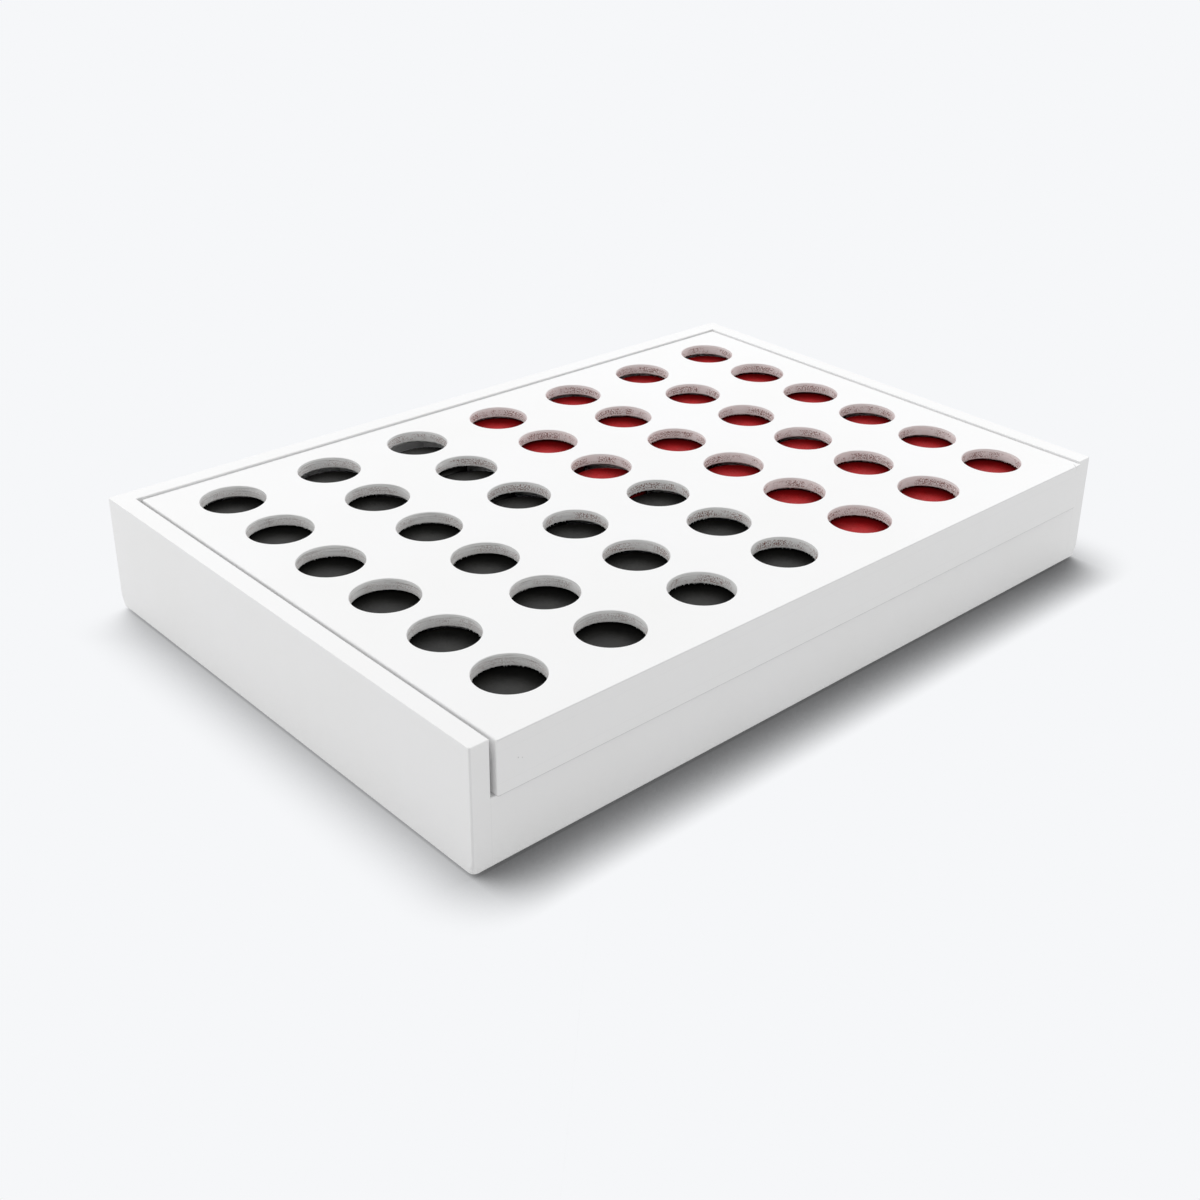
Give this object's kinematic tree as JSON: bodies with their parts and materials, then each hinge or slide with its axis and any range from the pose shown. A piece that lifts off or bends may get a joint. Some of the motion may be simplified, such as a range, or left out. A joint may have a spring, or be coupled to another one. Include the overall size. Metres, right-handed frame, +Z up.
{
  "type": "four-in-a-row game",
  "caption": "Flat four-in-a-row game: a windowed grid full of black and red discs lies in a low white tray, lifts out and stands in a slot on its floor.",
  "frame": {"origin": "on the table, under the middle of the stored game's bounding box", "axes": "+X along the long open front side, to the right as the player faces it; +Y from the front rail to the back wall; +Z up. The grid's channels run along Y, with their closed ends at the front."},
  "size_m": [0.29, 0.201, 0.0423],
  "materials": {
    "white_lacquer": "fibreboard sprayed with satin white lacquer, edges eased, bare specks inside the windows",
    "black_lacquer": "wooden disc with satin black lacquer",
    "red_lacquer": "wooden disc with satin red lacquer",
    "grey_felt": "pressed wool felt, glued on"
  },
  "bodies": {
    "tray": {"floor_board": "white_lacquer", "left_wall": "white_lacquer", "right_wall": "white_lacquer", "back_wall": "white_lacquer", "front_rail": "white_lacquer", "back_ledge": "white_lacquer", "front_cleat": "white_lacquer", "rear_cleat": "white_lacquer", "felt_pads": "grey_felt"},
    "grid": {"front_plate": "white_lacquer", "back_plate": "white_lacquer", "bottom_bar": "white_lacquer", "left_end_bar": "white_lacquer", "right_end_bar": "white_lacquer", "column_dividers": "white_lacquer"},
    "disc_c1_r1": {"black_disc_c1_r1": "black_lacquer"},
    "disc_c1_r2": {"black_disc_c1_r2": "black_lacquer"},
    "disc_c1_r3": {"black_disc_c1_r3": "black_lacquer"},
    "disc_c1_r4": {"black_disc_c1_r4": "black_lacquer"},
    "disc_c1_r5": {"black_disc_c1_r5": "black_lacquer"},
    "disc_c1_r6": {"black_disc_c1_r6": "black_lacquer"},
    "disc_c2_r1": {"black_disc_c2_r1": "black_lacquer"},
    "disc_c2_r2": {"black_disc_c2_r2": "black_lacquer"},
    "disc_c2_r3": {"black_disc_c2_r3": "black_lacquer"},
    "disc_c2_r4": {"black_disc_c2_r4": "black_lacquer"},
    "disc_c2_r5": {"black_disc_c2_r5": "black_lacquer"},
    "disc_c2_r6": {"black_disc_c2_r6": "black_lacquer"},
    "disc_c3_r1": {"black_disc_c3_r1": "black_lacquer"},
    "disc_c3_r2": {"black_disc_c3_r2": "black_lacquer"},
    "disc_c3_r3": {"black_disc_c3_r3": "black_lacquer"},
    "disc_c3_r4": {"black_disc_c3_r4": "black_lacquer"},
    "disc_c3_r5": {"black_disc_c3_r5": "black_lacquer"},
    "disc_c3_r6": {"black_disc_c3_r6": "black_lacquer"},
    "disc_c4_r1": {"black_disc_c4_r1": "black_lacquer"},
    "disc_c4_r2": {"black_disc_c4_r2": "black_lacquer"},
    "disc_c4_r3": {"black_disc_c4_r3": "black_lacquer"},
    "disc_c4_r4": {"red_disc_c4_r4": "red_lacquer"},
    "disc_c4_r5": {"red_disc_c4_r5": "red_lacquer"},
    "disc_c4_r6": {"red_disc_c4_r6": "red_lacquer"},
    "disc_c5_r1": {"red_disc_c5_r1": "red_lacquer"},
    "disc_c5_r2": {"red_disc_c5_r2": "red_lacquer"},
    "disc_c5_r3": {"red_disc_c5_r3": "red_lacquer"},
    "disc_c5_r4": {"red_disc_c5_r4": "red_lacquer"},
    "disc_c5_r5": {"red_disc_c5_r5": "red_lacquer"},
    "disc_c5_r6": {"red_disc_c5_r6": "red_lacquer"},
    "disc_c6_r1": {"red_disc_c6_r1": "red_lacquer"},
    "disc_c6_r2": {"red_disc_c6_r2": "red_lacquer"},
    "disc_c6_r3": {"red_disc_c6_r3": "red_lacquer"},
    "disc_c6_r4": {"red_disc_c6_r4": "red_lacquer"},
    "disc_c6_r5": {"red_disc_c6_r5": "red_lacquer"},
    "disc_c6_r6": {"red_disc_c6_r6": "red_lacquer"},
    "disc_c7_r1": {"red_disc_c7_r1": "red_lacquer"},
    "disc_c7_r2": {"red_disc_c7_r2": "red_lacquer"},
    "disc_c7_r3": {"red_disc_c7_r3": "red_lacquer"},
    "disc_c7_r4": {"red_disc_c7_r4": "red_lacquer"},
    "disc_c7_r5": {"red_disc_c7_r5": "red_lacquer"},
    "disc_c7_r6": {"red_disc_c7_r6": "red_lacquer"}
  },
  "joints": [
    {"name": "grid_lift", "type": "slide", "parent": "tray", "child": "grid", "axis": [0, 0, 1], "range_m": [0, 0.06]},
    {"name": "disc_slide_c1_r1", "type": "slide", "parent": "grid", "child": "disc_c1_r1", "axis": [0, 1, 0], "range_m": [0, 0.00725]},
    {"name": "disc_slide_c1_r2", "type": "slide", "parent": "grid", "child": "disc_c1_r2", "axis": [0, 1, 0], "range_m": [0, 0.00725]},
    {"name": "disc_slide_c1_r3", "type": "slide", "parent": "grid", "child": "disc_c1_r3", "axis": [0, 1, 0], "range_m": [0, 0.00725]},
    {"name": "disc_slide_c1_r4", "type": "slide", "parent": "grid", "child": "disc_c1_r4", "axis": [0, 1, 0], "range_m": [0, 0.00725]},
    {"name": "disc_slide_c1_r5", "type": "slide", "parent": "grid", "child": "disc_c1_r5", "axis": [0, 1, 0], "range_m": [0, 0.00725]},
    {"name": "disc_slide_c1_r6", "type": "slide", "parent": "grid", "child": "disc_c1_r6", "axis": [0, 1, 0], "range_m": [0, 0.00725]},
    {"name": "disc_slide_c2_r1", "type": "slide", "parent": "grid", "child": "disc_c2_r1", "axis": [0, 1, 0], "range_m": [0, 0.00975]},
    {"name": "disc_slide_c2_r2", "type": "slide", "parent": "grid", "child": "disc_c2_r2", "axis": [0, 1, 0], "range_m": [0, 0.00975]},
    {"name": "disc_slide_c2_r3", "type": "slide", "parent": "grid", "child": "disc_c2_r3", "axis": [0, 1, 0], "range_m": [0, 0.00975]},
    {"name": "disc_slide_c2_r4", "type": "slide", "parent": "grid", "child": "disc_c2_r4", "axis": [0, 1, 0], "range_m": [0, 0.00975]},
    {"name": "disc_slide_c2_r5", "type": "slide", "parent": "grid", "child": "disc_c2_r5", "axis": [0, 1, 0], "range_m": [0, 0.00975]},
    {"name": "disc_slide_c2_r6", "type": "slide", "parent": "grid", "child": "disc_c2_r6", "axis": [0, 1, 0], "range_m": [0, 0.00975]},
    {"name": "disc_slide_c3_r1", "type": "slide", "parent": "grid", "child": "disc_c3_r1", "axis": [0, 1, 0], "range_m": [0, 0.01325]},
    {"name": "disc_slide_c3_r2", "type": "slide", "parent": "grid", "child": "disc_c3_r2", "axis": [0, 1, 0], "range_m": [0, 0.01325]},
    {"name": "disc_slide_c3_r3", "type": "slide", "parent": "grid", "child": "disc_c3_r3", "axis": [0, 1, 0], "range_m": [0, 0.01325]},
    {"name": "disc_slide_c3_r4", "type": "slide", "parent": "grid", "child": "disc_c3_r4", "axis": [0, 1, 0], "range_m": [0, 0.01325]},
    {"name": "disc_slide_c3_r5", "type": "slide", "parent": "grid", "child": "disc_c3_r5", "axis": [0, 1, 0], "range_m": [0, 0.01325]},
    {"name": "disc_slide_c3_r6", "type": "slide", "parent": "grid", "child": "disc_c3_r6", "axis": [0, 1, 0], "range_m": [0, 0.01325]},
    {"name": "disc_slide_c4_r1", "type": "slide", "parent": "grid", "child": "disc_c4_r1", "axis": [0, 1, 0], "range_m": [0, 0.00725]},
    {"name": "disc_slide_c4_r2", "type": "slide", "parent": "grid", "child": "disc_c4_r2", "axis": [0, 1, 0], "range_m": [0, 0.00725]},
    {"name": "disc_slide_c4_r3", "type": "slide", "parent": "grid", "child": "disc_c4_r3", "axis": [0, 1, 0], "range_m": [0, 0.00725]},
    {"name": "disc_slide_c4_r4", "type": "slide", "parent": "grid", "child": "disc_c4_r4", "axis": [0, 1, 0], "range_m": [0, 0.00725]},
    {"name": "disc_slide_c4_r5", "type": "slide", "parent": "grid", "child": "disc_c4_r5", "axis": [0, 1, 0], "range_m": [0, 0.00725]},
    {"name": "disc_slide_c4_r6", "type": "slide", "parent": "grid", "child": "disc_c4_r6", "axis": [0, 1, 0], "range_m": [0, 0.00725]},
    {"name": "disc_slide_c5_r1", "type": "slide", "parent": "grid", "child": "disc_c5_r1", "axis": [0, 1, 0], "range_m": [0, 0.009]},
    {"name": "disc_slide_c5_r2", "type": "slide", "parent": "grid", "child": "disc_c5_r2", "axis": [0, 1, 0], "range_m": [0, 0.009]},
    {"name": "disc_slide_c5_r3", "type": "slide", "parent": "grid", "child": "disc_c5_r3", "axis": [0, 1, 0], "range_m": [0, 0.009]},
    {"name": "disc_slide_c5_r4", "type": "slide", "parent": "grid", "child": "disc_c5_r4", "axis": [0, 1, 0], "range_m": [0, 0.009]},
    {"name": "disc_slide_c5_r5", "type": "slide", "parent": "grid", "child": "disc_c5_r5", "axis": [0, 1, 0], "range_m": [0, 0.009]},
    {"name": "disc_slide_c5_r6", "type": "slide", "parent": "grid", "child": "disc_c5_r6", "axis": [0, 1, 0], "range_m": [0, 0.009]},
    {"name": "disc_slide_c6_r1", "type": "slide", "parent": "grid", "child": "disc_c6_r1", "axis": [0, 1, 0], "range_m": [0, 0.009]},
    {"name": "disc_slide_c6_r2", "type": "slide", "parent": "grid", "child": "disc_c6_r2", "axis": [0, 1, 0], "range_m": [0, 0.009]},
    {"name": "disc_slide_c6_r3", "type": "slide", "parent": "grid", "child": "disc_c6_r3", "axis": [0, 1, 0], "range_m": [0, 0.009]},
    {"name": "disc_slide_c6_r4", "type": "slide", "parent": "grid", "child": "disc_c6_r4", "axis": [0, 1, 0], "range_m": [0, 0.009]},
    {"name": "disc_slide_c6_r5", "type": "slide", "parent": "grid", "child": "disc_c6_r5", "axis": [0, 1, 0], "range_m": [0, 0.009]},
    {"name": "disc_slide_c6_r6", "type": "slide", "parent": "grid", "child": "disc_c6_r6", "axis": [0, 1, 0], "range_m": [0, 0.009]},
    {"name": "disc_slide_c7_r1", "type": "slide", "parent": "grid", "child": "disc_c7_r1", "axis": [0, 1, 0], "range_m": [0, 0.009]},
    {"name": "disc_slide_c7_r2", "type": "slide", "parent": "grid", "child": "disc_c7_r2", "axis": [0, 1, 0], "range_m": [0, 0.009]},
    {"name": "disc_slide_c7_r3", "type": "slide", "parent": "grid", "child": "disc_c7_r3", "axis": [0, 1, 0], "range_m": [0, 0.009]},
    {"name": "disc_slide_c7_r4", "type": "slide", "parent": "grid", "child": "disc_c7_r4", "axis": [0, 1, 0], "range_m": [0, 0.009]},
    {"name": "disc_slide_c7_r5", "type": "slide", "parent": "grid", "child": "disc_c7_r5", "axis": [0, 1, 0], "range_m": [0, 0.009]},
    {"name": "disc_slide_c7_r6", "type": "slide", "parent": "grid", "child": "disc_c7_r6", "axis": [0, 1, 0], "range_m": [0, 0.009]}
  ],
  "couplings": [
    {"joint": "disc_slide_c1_r2", "follows": "disc_slide_c1_r1", "ratio": 1},
    {"joint": "disc_slide_c1_r3", "follows": "disc_slide_c1_r1", "ratio": 1},
    {"joint": "disc_slide_c1_r4", "follows": "disc_slide_c1_r1", "ratio": 1},
    {"joint": "disc_slide_c1_r5", "follows": "disc_slide_c1_r1", "ratio": 1},
    {"joint": "disc_slide_c1_r6", "follows": "disc_slide_c1_r1", "ratio": 1},
    {"joint": "disc_slide_c2_r2", "follows": "disc_slide_c2_r1", "ratio": 1},
    {"joint": "disc_slide_c2_r3", "follows": "disc_slide_c2_r1", "ratio": 1},
    {"joint": "disc_slide_c2_r4", "follows": "disc_slide_c2_r1", "ratio": 1},
    {"joint": "disc_slide_c2_r5", "follows": "disc_slide_c2_r1", "ratio": 1},
    {"joint": "disc_slide_c2_r6", "follows": "disc_slide_c2_r1", "ratio": 1},
    {"joint": "disc_slide_c3_r2", "follows": "disc_slide_c3_r1", "ratio": 1},
    {"joint": "disc_slide_c3_r3", "follows": "disc_slide_c3_r1", "ratio": 1},
    {"joint": "disc_slide_c3_r4", "follows": "disc_slide_c3_r1", "ratio": 1},
    {"joint": "disc_slide_c3_r5", "follows": "disc_slide_c3_r1", "ratio": 1},
    {"joint": "disc_slide_c3_r6", "follows": "disc_slide_c3_r1", "ratio": 1},
    {"joint": "disc_slide_c4_r2", "follows": "disc_slide_c4_r1", "ratio": 1},
    {"joint": "disc_slide_c4_r3", "follows": "disc_slide_c4_r1", "ratio": 1},
    {"joint": "disc_slide_c4_r4", "follows": "disc_slide_c4_r1", "ratio": 1},
    {"joint": "disc_slide_c4_r5", "follows": "disc_slide_c4_r1", "ratio": 1},
    {"joint": "disc_slide_c4_r6", "follows": "disc_slide_c4_r1", "ratio": 1},
    {"joint": "disc_slide_c5_r2", "follows": "disc_slide_c5_r1", "ratio": 1},
    {"joint": "disc_slide_c5_r3", "follows": "disc_slide_c5_r1", "ratio": 1},
    {"joint": "disc_slide_c5_r4", "follows": "disc_slide_c5_r1", "ratio": 1},
    {"joint": "disc_slide_c5_r5", "follows": "disc_slide_c5_r1", "ratio": 1},
    {"joint": "disc_slide_c5_r6", "follows": "disc_slide_c5_r1", "ratio": 1},
    {"joint": "disc_slide_c6_r2", "follows": "disc_slide_c6_r1", "ratio": 1},
    {"joint": "disc_slide_c6_r3", "follows": "disc_slide_c6_r1", "ratio": 1},
    {"joint": "disc_slide_c6_r4", "follows": "disc_slide_c6_r1", "ratio": 1},
    {"joint": "disc_slide_c6_r5", "follows": "disc_slide_c6_r1", "ratio": 1},
    {"joint": "disc_slide_c6_r6", "follows": "disc_slide_c6_r1", "ratio": 1},
    {"joint": "disc_slide_c7_r2", "follows": "disc_slide_c7_r1", "ratio": 1},
    {"joint": "disc_slide_c7_r3", "follows": "disc_slide_c7_r1", "ratio": 1},
    {"joint": "disc_slide_c7_r4", "follows": "disc_slide_c7_r1", "ratio": 1},
    {"joint": "disc_slide_c7_r5", "follows": "disc_slide_c7_r1", "ratio": 1},
    {"joint": "disc_slide_c7_r6", "follows": "disc_slide_c7_r1", "ratio": 1}
  ]
}
